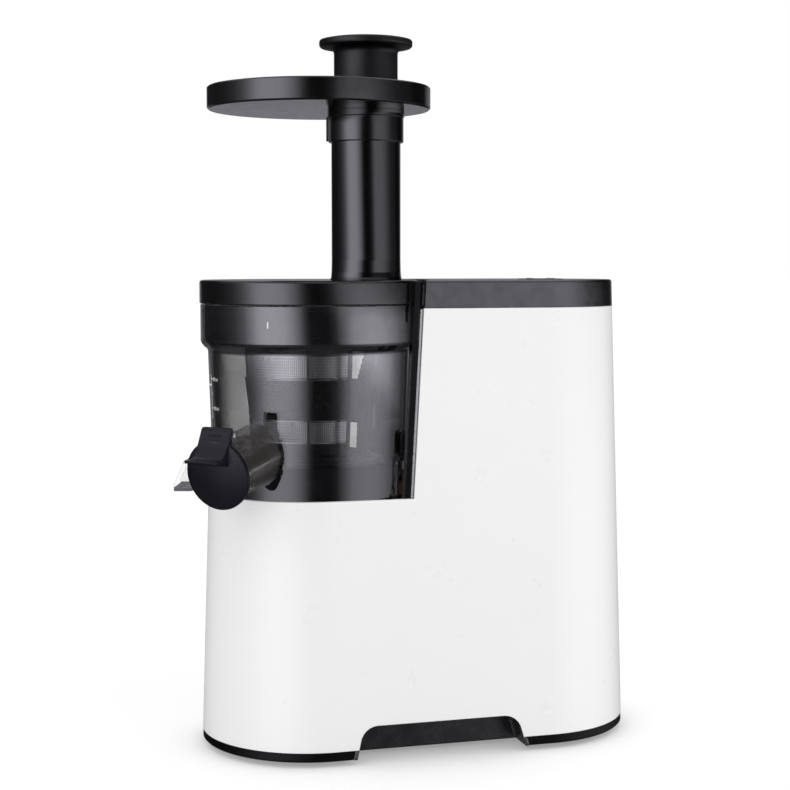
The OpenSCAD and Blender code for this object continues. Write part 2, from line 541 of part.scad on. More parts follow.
// ---------------------------------------------------------------- spout cap, in the spout's own frame
module juice_cap() {
  color([0.1, 0.1, 0.12]) at() at_spout() union() {
    rotate_extrude() polygon(concat([[0, 46.6], [21.9, 46.6], [22.6, 47.2], [22.7, 49.6]], arc(0, -6, 60.2, 68.2, 90, 9)));
    // lever that runs down the cap's face from the pin and turns out into a finger lip
    intersection() {
      rotate([90, 0, 0]) translate([0, 0, -15]) linear_extrude(height = 30) polygon([[-28.2, 41.2], [-29.3, 42], [-29.4, 43.6], [-28, 45.4], [-24.3, 48], [-19.2, 51.8], [-15.8, 54.8], [-14, 57.3], [-13.4, 60], [-13.8, 64], [-14.7, 67.8], [-14, 68.8], [-12.8, 68.4], [-11.6, 64], [-11, 60.4], [-10.6, 57.6], [-8, 55], [-7.4, 52], [-12, 49], [-22, 47.4], [-26.2, 43]]);
      rotate([0, 90, 0]) translate([0, 0, -40]) linear_extrude(height = 34) polygon([[-68.9, -8.6], [-68.2, -10.2], [-66, -11], [-60, -11], [-43.6, -11.3], [-41.8, -10.2], [-41, -8], [-41, 8], [-41.8, 10.2], [-43.6, 11.3], [-60, 11], [-66, 11], [-68.2, 10.2], [-68.9, 8.6]]);
    }
    difference() {
      union() {
        translate([pin_x, 0, pin_s]) rotate([90, 0, 0]) cylinder(r = 2.9, h = 8.8, center = true);
        translate([pin_x - 2.9, -4.4, pin_s]) cube([4.5, 8.8, 10.8]);
      }
      translate([pin_x, 0, pin_s]) rotate([90, 0, 0]) cylinder(r = 1.56, h = 20, center = true);
    }
  }
}
module cap_seal() { color([0.7, 0.7, 0.7]) at() at_spout() translate([0, 0, 42.6]) cylinder(r1 = 13.5, r2 = 15.2, h = 4); }
module cap_pin() { color("silver") at() at_spout() translate([pin_x, 0, pin_s]) rotate([90, 0, 0]) cylinder(r = 1.5, h = 15.2, center = true); }

// ---------------------------------------------------------------- lid, tray, pusher
module lid_seal() { color([0.6, 0.6, 0.6]) at() rotate_extrude() polygon([[66.6, 297], [69.6, 297], [70.3, 298.4], [70.3, 299.4], [69.6, 300.9], [66.6, 300.9]]); }

module feed_lid() {
  color([0.06, 0.06, 0.07]) at() difference() {
    union() {
      rotate_extrude() polygon([[0, 313.6], [63.8, 313.6], [63.8, 297.5], [66.3, 297.5], [66.3, 301.3], [70.6, 301.3], [70.6, 301.2], [lid_r - 0.4, 301.2], [lid_r, 301.7], [lid_r, 315.2], [lid_r - 0.6, 316.4], [lid_r - 1.8, 316.9], [0, 316.9]]);
      rotate_extrude() polygon([[0, 276], [9.2, 276], [9.8, 314], [0, 314]]);
      ring(47.2, 44.8, 280.2, 314);
      // hopper that leads from the tube to the auger
      intersection() {
        translate([tube_x, 0, 316]) rotate([0, 28, 0]) translate([0, 0, -60]) cylinder(r = 19.8, h = 80);
        cyl(46, 281, 315);
      }
    }
    translate([tube_x, 0, 0]) cyl(tube_r - 2.4, 314.5, 500);
    intersection() {
      translate([tube_x, 0, 316]) rotate([0, 28, 0]) translate([0, 0, -70]) cylinder(r = 17.6, h = 120);
      cyl(60, 270, 316.9);
      difference() { cyl(80, 260, 330); cyl(9.2, 250, 340); }
    }
    cyl(7.5, 270, 291);
  }
}
// Feed tube, welded on the lid
module feed_tube() {
  color([0.06, 0.06, 0.07]) at() translate([tube_x, 0, 0]) difference() {
    rotate_extrude() polygon([[tube_r - 5, 316.9], [tube_r + 1.1, 316.9], [tube_r + 0.5, 318.6], [tube_r + 0.2, 322], [tube_r, 330], [tube_r, tube_z - 0.6], [tube_r - 0.6, tube_z], [tube_r - 5, tube_z]]);
    cyl(tube_r - 2.4, 300, 500);
  }
}
module lid_bush() { color([0.85, 0.85, 0.85]) at() difference() { cyl(7.5, 276, 291); cyl(5.06, 270, 289.6); } }

module food_tray() {
  color([0.06, 0.06, 0.07]) at() union() {
    translate([7.5, 0, 0]) difference() {
      rotate_extrude() polygon([[0, 431.1], [tray_r - 1.2, 431.1], [tray_r, 432.2], [tray_r, 445.2], [tray_r - 0.8, 446], [tray_r - 2.2, 446], [tray_r - 3, 445], [tray_r - 4.6, 434.4], [0, 434.4]]);
      translate([tube_x - 7.5, 0, 0]) cyl(tube_r + 0.35, 400, 470);
    }
    translate([tube_x, 0, 0]) difference() {
      rotate_extrude() polygon([[tube_r + 0.35, 410], [25.2, 410], [25.65, 410.5], [25.65, 426.6], [26.2, 427.2], [26.2, 431.3], [26.2, 445.4], [25.6, 446], [tube_r + 0.35, 446]]);
    }
    translate([tube_x, 0, 0]) rotate([0, 0, 180]) box(25.2, 27.3, -2.4, 2.4, 410.5, 426.8);
  }
}

module food_pusher() {
  color([0.06, 0.06, 0.07]) at() translate([tube_x, 0, 0]) difference() {
    rotate_extrude() polygon(concat([
      [0, 326], [18.9, 326], [20.6, 328.5], [20.6, tube_z + 0.1], [21.7, tube_z + 0.1], [21.7, 469.4]],
      arc(25.3, 469.4, 3.6, 178, 100, 5),
      [[30.6, 473.9], [31.5, 474.7], [31.7, 475.6], [31.7, 477.9], [31, 478.8], [28, 479.4], [0, 479.4]]));
    cyl(18.2, 332, 490);
    translate([0, 0, 478.2]) cylinder(r1 = 18.2, r2 = 19.6, h = 1.4);
  }
}

outer_shell();
top_cover();
bowl_cradle();
cradle_trim();
base_plate();
grip_liners();
feet();
base_screws();
gearbox_case();
gearbox_cover();
gearbox_screws();
output_bushes();
mid_pin();
shaft_seal();
motor_stator();
motor_windings();
motor_brackets();
motor_bearings();
motor_screws();
control_board();
board_parts();
switch_body();
cord_gland();
output_gear();
drive_shaft();
mid_gear();
rotor_core();
motor_shaft();
motor_pinion();
motor_fan();
switch_rocker();
juice_bowl();
hub_seal();
pulp_plug();
strainer_frame();
strainer_mesh();
idler_pin();
auger_screw();
auger_gear();
auger_insert();
auger_tip();
idler_gear();
brush_frame();
brush_blades();
juice_cap();
cap_seal();
cap_pin();
lid_seal();
feed_lid();
feed_tube();
lid_bush();
food_tray();
food_pusher();
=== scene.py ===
import math

import bmesh
import bpy
from mathutils import Matrix, Vector

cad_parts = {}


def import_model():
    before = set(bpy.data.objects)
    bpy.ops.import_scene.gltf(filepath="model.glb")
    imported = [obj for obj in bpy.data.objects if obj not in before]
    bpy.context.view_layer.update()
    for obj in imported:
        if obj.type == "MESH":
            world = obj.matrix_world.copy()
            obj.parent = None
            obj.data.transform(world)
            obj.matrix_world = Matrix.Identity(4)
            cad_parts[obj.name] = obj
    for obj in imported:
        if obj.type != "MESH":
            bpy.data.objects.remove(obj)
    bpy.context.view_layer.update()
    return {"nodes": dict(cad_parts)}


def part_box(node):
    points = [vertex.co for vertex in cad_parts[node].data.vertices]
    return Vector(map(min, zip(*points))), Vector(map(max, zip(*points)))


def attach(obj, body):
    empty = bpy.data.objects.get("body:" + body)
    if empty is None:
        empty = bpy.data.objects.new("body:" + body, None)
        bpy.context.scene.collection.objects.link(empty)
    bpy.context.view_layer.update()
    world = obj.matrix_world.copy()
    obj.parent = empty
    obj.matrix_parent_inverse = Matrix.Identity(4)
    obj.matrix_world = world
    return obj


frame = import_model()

NODES = frame["nodes"]
scene = bpy.context.scene

# The bowl's axis in the row frame, in millimetres. mm() turns millimetres from that axis into row metres.
_lo, _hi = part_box("strainer_mesh")
OX, OY = 500 * (_lo[0] + _hi[0]), 500 * (_lo[1] + _hi[1])


def mm(x, y, z):
    return Vector(((x + OX) / 1000, (y + OY) / 1000, z / 1000))


# ------------------------------------------------------------------ node helpers
class Mat:
    """A material with one Principled shader and a few short cuts for its nodes."""

    def __init__(self, name, base, rough, metallic=0.0, ior=1.5, spec=0.5, coat=0.0, coat_rough=0.05):
        self.m = bpy.data.materials.new(name)
        self.m.use_nodes = True
        self.nt = self.m.node_tree
        self.nt.nodes.clear()
        self.out = self.nt.nodes.new("ShaderNodeOutputMaterial")
        self.b = self.nt.nodes.new("ShaderNodeBsdfPrincipled")
        self.nt.links.new(self.b.outputs[0], self.out.inputs[0])
        self.b.inputs["Base Color"].default_value = (*base, 1)
        self.b.inputs["Roughness"].default_value = rough
        self.b.inputs["Metallic"].default_value = metallic
        self.b.inputs["IOR"].default_value = ior
        self.b.inputs["Specular IOR Level"].default_value = spec
        self.b.inputs["Coat Weight"].default_value = coat
        self.b.inputs["Coat Roughness"].default_value = coat_rough
        self.base = base
        self.co = self.nt.nodes.new("ShaderNodeTexCoord").outputs["Object"]

    def n(self, kind, **inputs):
        node = self.nt.nodes.new(kind)
        for k, v in inputs.items():
            self.set(node, k, v)
        return node

    def set(self, node, key, v):
        sock = node.inputs[int(key[1:])] if key[0] == "i" and key[1:].isdigit() else node.inputs[key.replace("_", " ")]
        if isinstance(v, bpy.types.NodeSocket):
            self.nt.links.new(v, sock)
        else:
            sock.default_value = v

    def scaled(self, s):
        return self.vec("MULTIPLY", self.co, s if isinstance(s, tuple) else (s, s, s))

    def vec(self, op, a, b):
        node = self.nt.nodes.new("ShaderNodeVectorMath")
        node.operation = op
        self.set(node, "i0", a)
        self.set(node, "i1", b)
        return node.outputs["Value"] if op in ("DOT_PRODUCT", "LENGTH", "DISTANCE") else node.outputs[0]

    def math(self, op, a, b=0.0, c=None, clamp=False):
        node = self.nt.nodes.new("ShaderNodeMath")
        node.operation = op
        node.use_clamp = clamp
        self.set(node, "i0", a)
        self.set(node, "i1", b)
        if c is not None:
            self.set(node, "i2", c)
        return node.outputs[0]

    def noise(self, scale, detail=3.0, rough=0.5, stretch=(1, 1, 1)):
        tex = self.nt.nodes.new("ShaderNodeTexNoise")
        self.set(tex, "Vector", self.scaled(stretch) if stretch != (1, 1, 1) else self.co)
        tex.inputs["Scale"].default_value = scale
        tex.inputs["Detail"].default_value = detail
        tex.inputs["Roughness"].default_value = rough
        return tex.outputs["Fac"]

    def remap(self, v, a0, a1, b0, b1, smooth=False):
        node = self.nt.nodes.new("ShaderNodeMapRange")
        node.interpolation_type = "SMOOTHSTEP" if smooth else "LINEAR"
        for key, x in zip(("Value", "From Min", "From Max", "To Min", "To Max"), (v, a0, a1, b0, b1)):
            self.set(node, key, x)
        return node.outputs["Result"]

    def mix(self, fac, a, b):
        node = self.nt.nodes.new("ShaderNodeMix")
        node.data_type = "RGBA"
        self.set(node, "i0", fac)
        for i, c in ((6, a), (7, b)):
            if isinstance(c, bpy.types.NodeSocket):
                self.nt.links.new(c, node.inputs[i])
            else:
                node.inputs[i].default_value = (*c, 1)
        return node.outputs[2]

    def color(self, sock):
        self.nt.links.new(sock, self.b.inputs["Base Color"])
        return self

    def vary(self, scale, amount, detail=4.0, stretch=(1, 1, 1)):
        """The base colour drifts a little, lighter and darker by a share."""
        f = self.remap(self.noise(scale, detail, 0.55, stretch), 0.3, 0.7, 0.0, 1.0)
        lo = tuple(c * (1 - amount) for c in self.base)
        hi = tuple(min(1.0, c * (1 + amount)) for c in self.base)
        return self.color(self.mix(f, lo, hi))

    def roughness(self, scale, lo, hi, detail=4.0, stretch=(1, 1, 1)):
        f = self.noise(scale, detail, 0.6, stretch)
        self.nt.links.new(self.remap(f, 0.3, 0.7, lo, hi), self.b.inputs["Roughness"])
        return self

    def normal(self, heights, edge=0.0):
        """heights is a list of (height socket, strength, distance); edge rounds sharp edges by that radius."""
        last = None
        if edge:
            bev = self.nt.nodes.new("ShaderNodeBevel")
            bev.samples = 4
            bev.inputs["Radius"].default_value = edge
            last = bev.outputs[0]
        for sock, strength, dist in heights:
            bump = self.nt.nodes.new("ShaderNodeBump")
            bump.inputs["Strength"].default_value = strength
            bump.inputs["Distance"].default_value = dist
            self.nt.links.new(sock, bump.inputs["Height"])
            if last is not None:
                self.nt.links.new(last, bump.inputs["Normal"])
            last = bump.outputs[0]
        if last is not None:
            self.nt.links.new(last, self.b.inputs["Normal"])
        return self


# ------------------------------------------------------------------ materials
def gloss_black(name, base, lo, hi, wave=0.02, edge=0.0006, fine=0.0, spec=0.5):
    m = Mat(name, base, lo, spec=spec)
    m.vary(55, 0.18).roughness(140, lo, hi)
    hs = [(m.noise(150, 2.0), wave, 0.0004)]
    if fine:
        hs.append((m.noise(1700, 2.0, 0.5), fine, 0.00005))
    m.normal(hs, edge)
    return m


def white_plastic():
    m = Mat("white_moulded", (0.84, 0.84, 0.838), 0.3, spec=0.42)
    m.vary(14, 0.006).roughness(40, 0.27, 0.31)
    m.normal([(m.noise(30, 1.0), 0.004, 0.0005), (m.noise(900, 2.0, 0.5), 0.005, 0.00004)], 0.0008)
    return m


def smoked():
    """Smoke-tinted clear plastic. The pulp outlet is a thin clear part, and the spout's stub is thick and brown."""
    m = Mat("smoked_clear_plastic", (0.004, 0.004, 0.005), 0.05, spec=0.98)
    sep = m.n("ShaderNodeSeparateXYZ", Vector=m.co)
    x = m.math("SUBTRACT", sep.outputs[0], OX / 1000)
    y = m.math("SUBTRACT", sep.outputs[1], OY / 1000)
    z = sep.outputs[2]

    def along(az):
        a = math.radians(az)
        return m.math("ADD", m.math("MULTIPLY", x, math.cos(a)), m.math("MULTIPLY", y, math.sin(a)))

    below = m.remap(z, 0.1965, 0.1985, 1, 0, True)
    chute = m.math("MULTIPLY", m.remap(along(161.8), 0.0672, 0.0690, 0, 1, True), below)
    stub = m.math("MULTIPLY", m.remap(along(226), 0.0668, 0.0700, 0, 1, True), m.remap(z, 0.228, 0.232, 1, 0, True))
    m.roughness(120, 0.035, 0.085)
    m.color(m.mix(stub, m.mix(m.remap(m.noise(40), 0.3, 0.7, 0, 1), (0.003, 0.003, 0.0035), (0.005, 0.005, 0.006)), (0.044, 0.040, 0.038)))
    m.normal([(m.noise(60, 2.0), 0.015, 0.0004)])
    lw = m.n("ShaderNodeLayerWeight")
    lw.inputs["Blend"].default_value = 0.5
    a = m.remap(lw.outputs["Facing"], 0.35, 0.88, 0.38, 0.90, True)
    thin = m.remap(lw.outputs["Facing"], 0.35, 0.98, 0.08, 0.50, True)
    a = m.math("ADD", m.math("MULTIPLY", a, m.math("SUBTRACT", 1.0, chute)), m.math("MULTIPLY", thin, chute))
    band = m.remap(z, 0.2655, 0.2700, 0, 1, True)
    a = m.math("MAXIMUM", a, m.math("MULTIPLY", band, 0.80))
    foot = m.math("MULTIPLY", m.remap(z, 0.194, 0.198, 1, 0, True), m.math("SUBTRACT", 1.0, chute))
    a = m.math("MAXIMUM", a, m.math("MULTIPLY", foot, 0.90))
    rim = m.math("MULTIPLY", m.remap(z, 0.1755, 0.1770, 1, 0, True), chute)
    a = m.math("MAXIMUM", a, m.math("MULTIPLY", rim, 0.92))
    a = m.math("MAXIMUM", a, m.math("MULTIPLY", stub, 0.80))
    drift = m.remap(m.noise(18, 2.0), 0.3, 0.7, -0.015, 0.015)
    a = m.math("ADD", a, drift, clamp=True)
    m.nt.links.new(a, m.b.inputs["Alpha"])
    # the surface shines as strongly where the wall is clear as where it is dark
    shine = m.math("DIVIDE", m.math("SUBTRACT", 0.93, m.math("MULTIPLY", band, 0.18)), m.math("MAXIMUM", a, 0.40))
    m.nt.links.new(shine, m.b.inputs["Specular IOR Level"])
    return m


def brushed(name, base, lo, hi, stretch=(1, 1, 40), scale=30, bump=0.05, edge=0.0003, metallic=1.0):
    m = Mat(name, base, lo, metallic=metallic)
    m.vary(scale, 0.12, 5.0, stretch).roughness(scale, lo, hi, 5.0, stretch)
    m.normal([(m.noise(scale * 2, 4.0, 0.6, stretch), bump, 0.00006)], edge)
    return m


def cast(name, base, lo, hi):
    m = Mat(name, base, lo, metallic=0.75)
    m.vary(45, 0.15).roughness(260, lo, hi)
    m.normal([(m.noise(900, 4.0, 0.65), 0.22, 0.0002), (m.noise(90, 2.0), 0.06, 0.0006)], 0.0005)
    return m


def soft_rubber(name, base, lo, hi, sub=0.0):
    m = Mat(name, base, lo, spec=0.35)
    m.vary(120, 0.15).roughness(400, lo, hi)
    m.normal([(m.noise(2400, 3.0, 0.6), 0.12, 0.00008)], 0.0004)
    if sub:
        m.b.inputs["Subsurface Weight"].default_value = sub
        m.b.inputs["Subsurface Radius"].default_value = (0.0012, 0.0012, 0.0012)
    return m


def around(m, axis_x, axis_y):
    """Angle round a vertical axis (radians) and height (metres) of the shaded point."""
    sep = m.n("ShaderNodeSeparateXYZ", Vector=m.co)
    x = m.math("SUBTRACT", sep.outputs[0], axis_x)
    y = m.math("SUBTRACT", sep.outputs[1], axis_y)
    return m.math("ARCTAN2", y, x), sep.outputs[2]


def sieve_steel():
    """Etched sieve: upright rows of short slots, drawn by angle and height on the cone. The slots are painted near
    black as painted shade for the dark auger and shaded inside seen through them.
    """
    m = Mat("etched_sieve", (0.72, 0.715, 0.71), 0.4, metallic=1.0)
    ang, z = around(m, OX / 1000, OY / 1000)
    col = m.math("FRACT", m.math("MULTIPLY", ang, 190 / (2 * math.pi)), 0)
    row = m.math("FRACT", m.math("MULTIPLY", z, 1 / 0.0019), 0)
    dc = m.math("ABSOLUTE", m.math("SUBTRACT", col, 0.5), 0)
    dr = m.math("ABSOLUTE", m.math("SUBTRACT", row, 0.5), 0)
    slot_painted_shade = m.math("MULTIPLY", m.remap(dc, 0.16, 0.24, 1, 0, True), m.remap(dr, 0.30, 0.38, 1, 0, True))
    streak = m.noise(1.0, 4.0, 0.5, (600, 600, 12))
    plain = m.mix(m.remap(streak, 0.3, 0.7, 0, 1), (0.78, 0.775, 0.77), (0.95, 0.945, 0.94))
    # painted shade: the slot mask darkens the steel to 0.05, standing for the dark auger and shade behind the openings
    m.color(m.mix(m.math("MULTIPLY", slot_painted_shade, 0.7), plain, (0.05, 0.05, 0.05)))
    m.nt.links.new(m.remap(streak, 0.3, 0.7, 0.26, 0.48), m.b.inputs["Roughness"])
    m.normal([(m.math("SUBTRACT", 1.0, slot_painted_shade), 0.3, 0.0001), (streak, 0.12, 0.0002)])
    return m


def laminations():
    m = Mat("laminated_steel", (0.17, 0.17, 0.175), 0.45, metallic=0.85)
    _, z = around(m, 0.0, 0.0)
    layer = m.math("FRACT", m.math("MULTIPLY", z, 1 / 0.0006), 0)
    line = m.remap(m.math("ABSOLUTE", m.math("SUBTRACT", layer, 0.5), 0), 0.3, 0.48, 0, 1, True)
    m.color(m.mix(line, (0.19, 0.19, 0.195), (0.06, 0.055, 0.05)))
    m.roughness(200, 0.35, 0.6)
    m.normal([(m.math("SUBTRACT", 1.0, line), 0.4, 0.0001)], 0.0003)
    return m


def windings():
    m = Mat("enamelled_copper", (0.42, 0.16, 0.06), 0.3, metallic=0.7, coat=0.5)
    ang, z = around(m, (117.25 + OX) / 1000, OY / 1000)
    w = m.math("SINE", m.math("ADD", m.math("MULTIPLY", ang, 190), m.math("MULTIPLY", z, 2600)), 0)
    m.color(m.mix(m.remap(w, -1, 1, 0, 1), (0.16, 0.05, 0.02), (0.55, 0.23, 0.09)))
    m.roughness(300, 0.2, 0.4)
    m.normal([(w, 0.6, 0.0003)])
    return m


def circuit():
    m = Mat("circuit_board", (0.02, 0.12, 0.05), 0.35, coat=0.3)
    br = m.nt.nodes.new("ShaderNodeTexBrick")
    m.set(br, "Vector", m.scaled((1, 1, 1)))
    br.inputs["Scale"].default_value = 90
    br.inputs["Color1"].default_value = (0.016, 0.10, 0.04, 1)
    br.inputs["Color2"].default_value = (0.022, 0.14, 0.055, 1)
    br.inputs["Mortar"].default_value = (0.05, 0.24, 0.10, 1)
    br.inputs["Mortar Size"].default_value = 0.05
    m.color(br.outputs["Color"])
    m.roughness(300, 0.3, 0.5)
    m.normal([(br.outputs["Fac"], 0.3, 0.0001)], 0.0003)
    return m


def moulded(name, base, lo, hi, grain=1800, bump=0.14, edge=0.0005, spec=0.45):
    m = Mat(name, base, lo, spec=spec)
    m.vary(80, 0.12).roughness(240, lo, hi)
    m.normal([(m.noise(grain, 3.0, 0.6), bump, 0.00008)], edge)
    return m


def striped_rubber():
    """Translucent silicone."""
    m = soft_rubber("silicone_translucent", (0.80, 0.80, 0.79), 0.30, 0.42, sub=0.25)
    return m


def wiper_rubber_painted_highlight():
    """Clear silicone with a painted highlight: a steady emission makes it shine inside the smoked bowl though it is no
    lamp.
    """
    m = soft_rubber("silicone_wiper_painted_highlight", (0.86, 0.86, 0.86), 0.22, 0.32, sub=0.3)
    # painted highlight: emission strength 0.45 to 0.75, drifting with noise, lights the wiper from within
    painted_highlight = m.remap(m.noise(90, 2.0), 0.3, 0.7, 0.45, 0.75)
    m.b.inputs["Emission Color"].default_value = (1, 1, 1, 1)
    m.nt.links.new(painted_highlight, m.b.inputs["Emission Strength"])
    return m


def floor_material():
    m = Mat("pale_floor", (0.74, 0.74, 0.74), 0.9, spec=0.1)
    m.vary(3, 0.004)
    m.b.inputs["Emission Color"].default_value = (1, 1, 1, 1)
    m.b.inputs["Emission Strength"].default_value = 0.29
    return m


MATS = {
    "white": white_plastic(),
    "black": gloss_black("black_polished", (0.0014, 0.0014, 0.0016), 0.10, 0.16),
    "black_cover": gloss_black("black_polished_cover", (0.0016, 0.0016, 0.0018), 0.14, 0.21, spec=0.88),
    "black_deep": gloss_black("black_cradle", (0.0012, 0.0012, 0.0014), 0.20, 0.28, spec=0.14),
    "black_cap": gloss_black("black_bluish", (0.0054, 0.0054, 0.0086), 0.34, 0.44, wave=0.03, fine=0.03, spec=0.16),
    "black_pusher": gloss_black("black_satin_pusher", (0.0030, 0.0030, 0.0036), 0.40, 0.48, wave=0.03, fine=0.03, spec=0.26),
    "black_tube": gloss_black("black_polished_tube", (0.0014, 0.0014, 0.0016), 0.05, 0.09),
    "black_tray": gloss_black("black_polished_tray", (0.0016, 0.0016, 0.0018), 0.09, 0.15),
    "black_base": moulded("black_moulded_base", (0.0018, 0.0017, 0.0020), 0.34, 0.44, spec=0.1),
    "black_part": moulded("black_moulded_part", (0.02, 0.02, 0.022), 0.4, 0.55),
    "liner": gloss_black("black_grip", (0.0030, 0.0030, 0.0038), 0.22, 0.30, wave=0.03, fine=0.02, edge=0.0022, spec=1.0),
    "trim": brushed("grey_trim", (0.40, 0.40, 0.41), 0.25, 0.35, (1, 1, 30), 40, 0.03, 0.0002, 0.6),
    "smoked": smoked(),
    "frame": gloss_black("strainer_plastic", (0.0030, 0.0030, 0.0034), 0.25, 0.35, wave=0.03, fine=0.0, edge=0.0004),
    "sieve": sieve_steel(),
    "steel": brushed("machined_steel", (0.55, 0.55, 0.56), 0.22, 0.34, (1, 1, 40), 60),
    "rubber": soft_rubber("rubber_foot", (0.022, 0.022, 0.023), 0.6, 0.75),
    "silicone": striped_rubber(),
    "wiper": wiper_rubber_painted_highlight(),
    "polished": brushed("polished_steel", (0.88, 0.88, 0.87), 0.08, 0.16, (1, 1, 40), 60, 0.02, 0.0),
    "case": cast("die_cast_grey", (0.33, 0.34, 0.36), 0.42, 0.58),
    "bronze": brushed("sintered_bronze", (0.50, 0.31, 0.15), 0.35, 0.5, (1, 1, 1), 700, 0.15),
    "nylon": moulded("natural_nylon", (0.66, 0.61, 0.50), 0.38, 0.5, 900, 0.06),
    "gear": brushed("sintered_steel", (0.36, 0.36, 0.365), 0.34, 0.48, (1, 1, 1), 500, 0.12),
    "lams": laminations(),
    "copper": windings(),
    "pcb": circuit(),
    "acetal": moulded("white_acetal", (0.70, 0.70, 0.69), 0.35, 0.45, 1200, 0.05),
    "print": moulded("white_print", (0.80, 0.80, 0.79), 0.5, 0.62, 2600, 0.05, 0.0),
    "floor": floor_material(),
}

WEARS = {
    "outer_shell": "white", "top_cover": "black_cover", "bowl_cradle": "black_deep", "cradle_trim": "trim",
    "base_plate": "black_base", "grip_liners": "liner", "feet": "rubber", "base_screws": "steel",
    "gearbox_case": "case", "gearbox_cover": "case", "gearbox_screws": "steel", "output_bushes": "bronze",
    "mid_pin": "steel", "shaft_seal": "silicone", "motor_stator": "lams", "motor_windings": "copper",
    "motor_brackets": "case", "motor_bearings": "steel", "motor_screws": "steel", "control_board": "pcb",
    "board_parts": "black_part", "switch_body": "black_part", "cord_gland": "rubber", "output_gear": "gear",
    "drive_shaft": "steel", "mid_gear": "nylon", "rotor_core": "lams", "motor_shaft": "steel",
    "motor_pinion": "gear", "motor_fan": "black_part", "switch_rocker": "black", "juice_bowl": "smoked",
    "hub_seal": "silicone", "pulp_plug": "silicone", "strainer_frame": "frame", "strainer_mesh": "sieve",
    "idler_pin": "steel", "auger_screw": "frame", "auger_gear": "black_part", "auger_insert": "steel",
    "auger_tip": "steel", "idler_gear": "nylon", "brush_frame": "frame", "brush_blades": "wiper",
    "juice_cap": "black_cap", "cap_seal": "silicone", "cap_pin": "steel", "lid_seal": "silicone",
    "feed_lid": "black", "feed_tube": "black_tube", "lid_bush": "acetal", "food_tray": "black_tray", "food_pusher": "black_pusher",
}
for name, key in WEARS.items():
    if name not in NODES:
        continue
    o = NODES[name]
    o.data.materials.clear()
    o.data.materials.append(MATS[key].m)


# ------------------------------------------------------------------ pieces
def piece(name, bm, key, body, smooth=True):
    me = bpy.data.meshes.new(name)
    bm.normal_update()
    bm.to_mesh(me)
    bm.free()
    for p in me.polygons:
        p.use_smooth = smooth
    me.materials.append(MATS[key].m)
    o = bpy.data.objects.new(name, me)
    scene.collection.objects.link(o)
    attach(o, body)
    return o


def bowl_r(z):
    """Outer radius of the bowl (mm) at a height (mm) between its foot and its band."""
    return 66 + 1.2 * (z - 173) / 52 if z < 225 else 67.2 + 1.4 * (z - 225) / 43


def on_bowl(az, z, out=0.07):
    r = bowl_r(z) + out
    a = math.radians(az)
    return mm(r * math.cos(a), r * math.sin(a), z)


def printed_patch(bm, az0, az1, z0, z1, rad=None, out=0.07):
    """A printed bar on the bowl between two angles and two heights, following its curve."""
    n = max(1, round(abs(az1 - az0) / 2))
    rows = []
    for i in range(n + 1):
        az = az0 + (az1 - az0) * i / n
        pts = []
        for z in (z0, z1):
            if rad is None:
                pts.append(bm.verts.new(on_bowl(az, z, out)))
            else:
                a = math.radians(az)
                pts.append(bm.verts.new(mm((rad + out) * math.cos(a), (rad + out) * math.sin(a), z)))
        rows.append(pts)
    for a, b in zip(rows, rows[1:]):
        bm.faces.new((a[0], b[0], b[1], a[1]))


def printed_text(bm, text, az0, z0, size):
    cu = bpy.data.curves.new("t", "FONT")
    cu.body = text
    cu.size = size
    cu.resolution_u = 3
    ob = bpy.data.objects.new("t", cu)
    scene.collection.objects.link(ob)
    dg = bpy.context.evaluated_depsgraph_get()
    me = bpy.data.meshes.new_from_object(ob.evaluated_get(dg))
    bpy.data.objects.remove(ob)
    tmp = bmesh.new()
    tmp.from_mesh(me)
    bmesh.ops.subdivide_edges(tmp, edges=[e for e in tmp.edges if e.calc_length() > 0.6], cuts=1)
    new = {}
    for v in tmp.verts:
        z = z0 + v.co.y
        az = az0 + math.degrees(v.co.x / bowl_r(z))
        new[v.index] = None
        new[v] = bm.verts.new(on_bowl(az, z))
    for f in tmp.faces:
        try:
            bm.faces.new([new[v] for v in f.verts])
        except ValueError:
            pass
    tmp.free()
    bpy.data.meshes.remove(me)


bm = bmesh.new()
line_az = 183.0
printed_patch(bm, line_az - 0.25, line_az + 0.25, 224.5, 253.5)
for z, label in ((251.0, "300 ml"), (231.5, "200 ml")):
    printed_patch(bm, line_az, line_az + 2.6, z - 0.3, z + 0.3)
    printed_text(bm, label, line_az + 3.6, z - 1.1, 3.3)
for z in (241.2,):
    printed_patch(bm, line_az, line_az + 1.6, z - 0.25, z + 0.25)
printed_patch(bm, line_az - 6.5, line_az, 246.2, 247.4)
piece("bowl_scale", bm, "print", "bowl")

bm = bmesh.new()
printed_patch(bm, 235.6, 236.3, 286.4, 290.6, rad=73.5)
piece("bowl_mark", bm, "print", "bowl")


def ring_tube(bm, r, z, t, seg=160, side=10):
    """A wire ring of radius r (mm) at height z, wire radius t."""
    rings = []
    for i in range(seg):
        a = 2 * math.pi * i / seg
        loop = []
        for j in range(side):
            b = 2 * math.pi * j / side
            rr = r + t * math.cos(b)
            loop.append(bm.verts.new(mm(rr * math.cos(a), rr * math.sin(a), z + t * math.sin(b))))
        rings.append(loop)
    for i in range(seg):
        a, b = rings[i], rings[(i + 1) % seg]
        for j in range(side):
            bm.faces.new((a[j], b[j], b[(j + 1) % side], a[(j + 1) % side]))


def cone_r(z):
    """Outer radius of the sieve's cone."""
    return 38.0 + 4.3 * (z - 203.3) / 68.7


bm = bmesh.new()
for z in (271.4, 251.9, 223.4, 208.9):
    ring_tube(bm, cone_r(z) + 0.3, z, 0.7)
piece("sieve_hoops", bm, "polished", "bowl")

# ------------------------------------------------------------------ floor, light, camera
bm = bmesh.new()
bmesh.ops.create_grid(bm, x_segments=24, y_segments=24, size=14.0)
me = bpy.data.meshes.new("studio_floor")
bm.to_mesh(me)
bm.free()
me.materials.append(MATS["floor"].m)
floor = bpy.data.objects.new("studio_floor", me)
scene.collection.objects.link(floor)
floor.visible_glossy = False

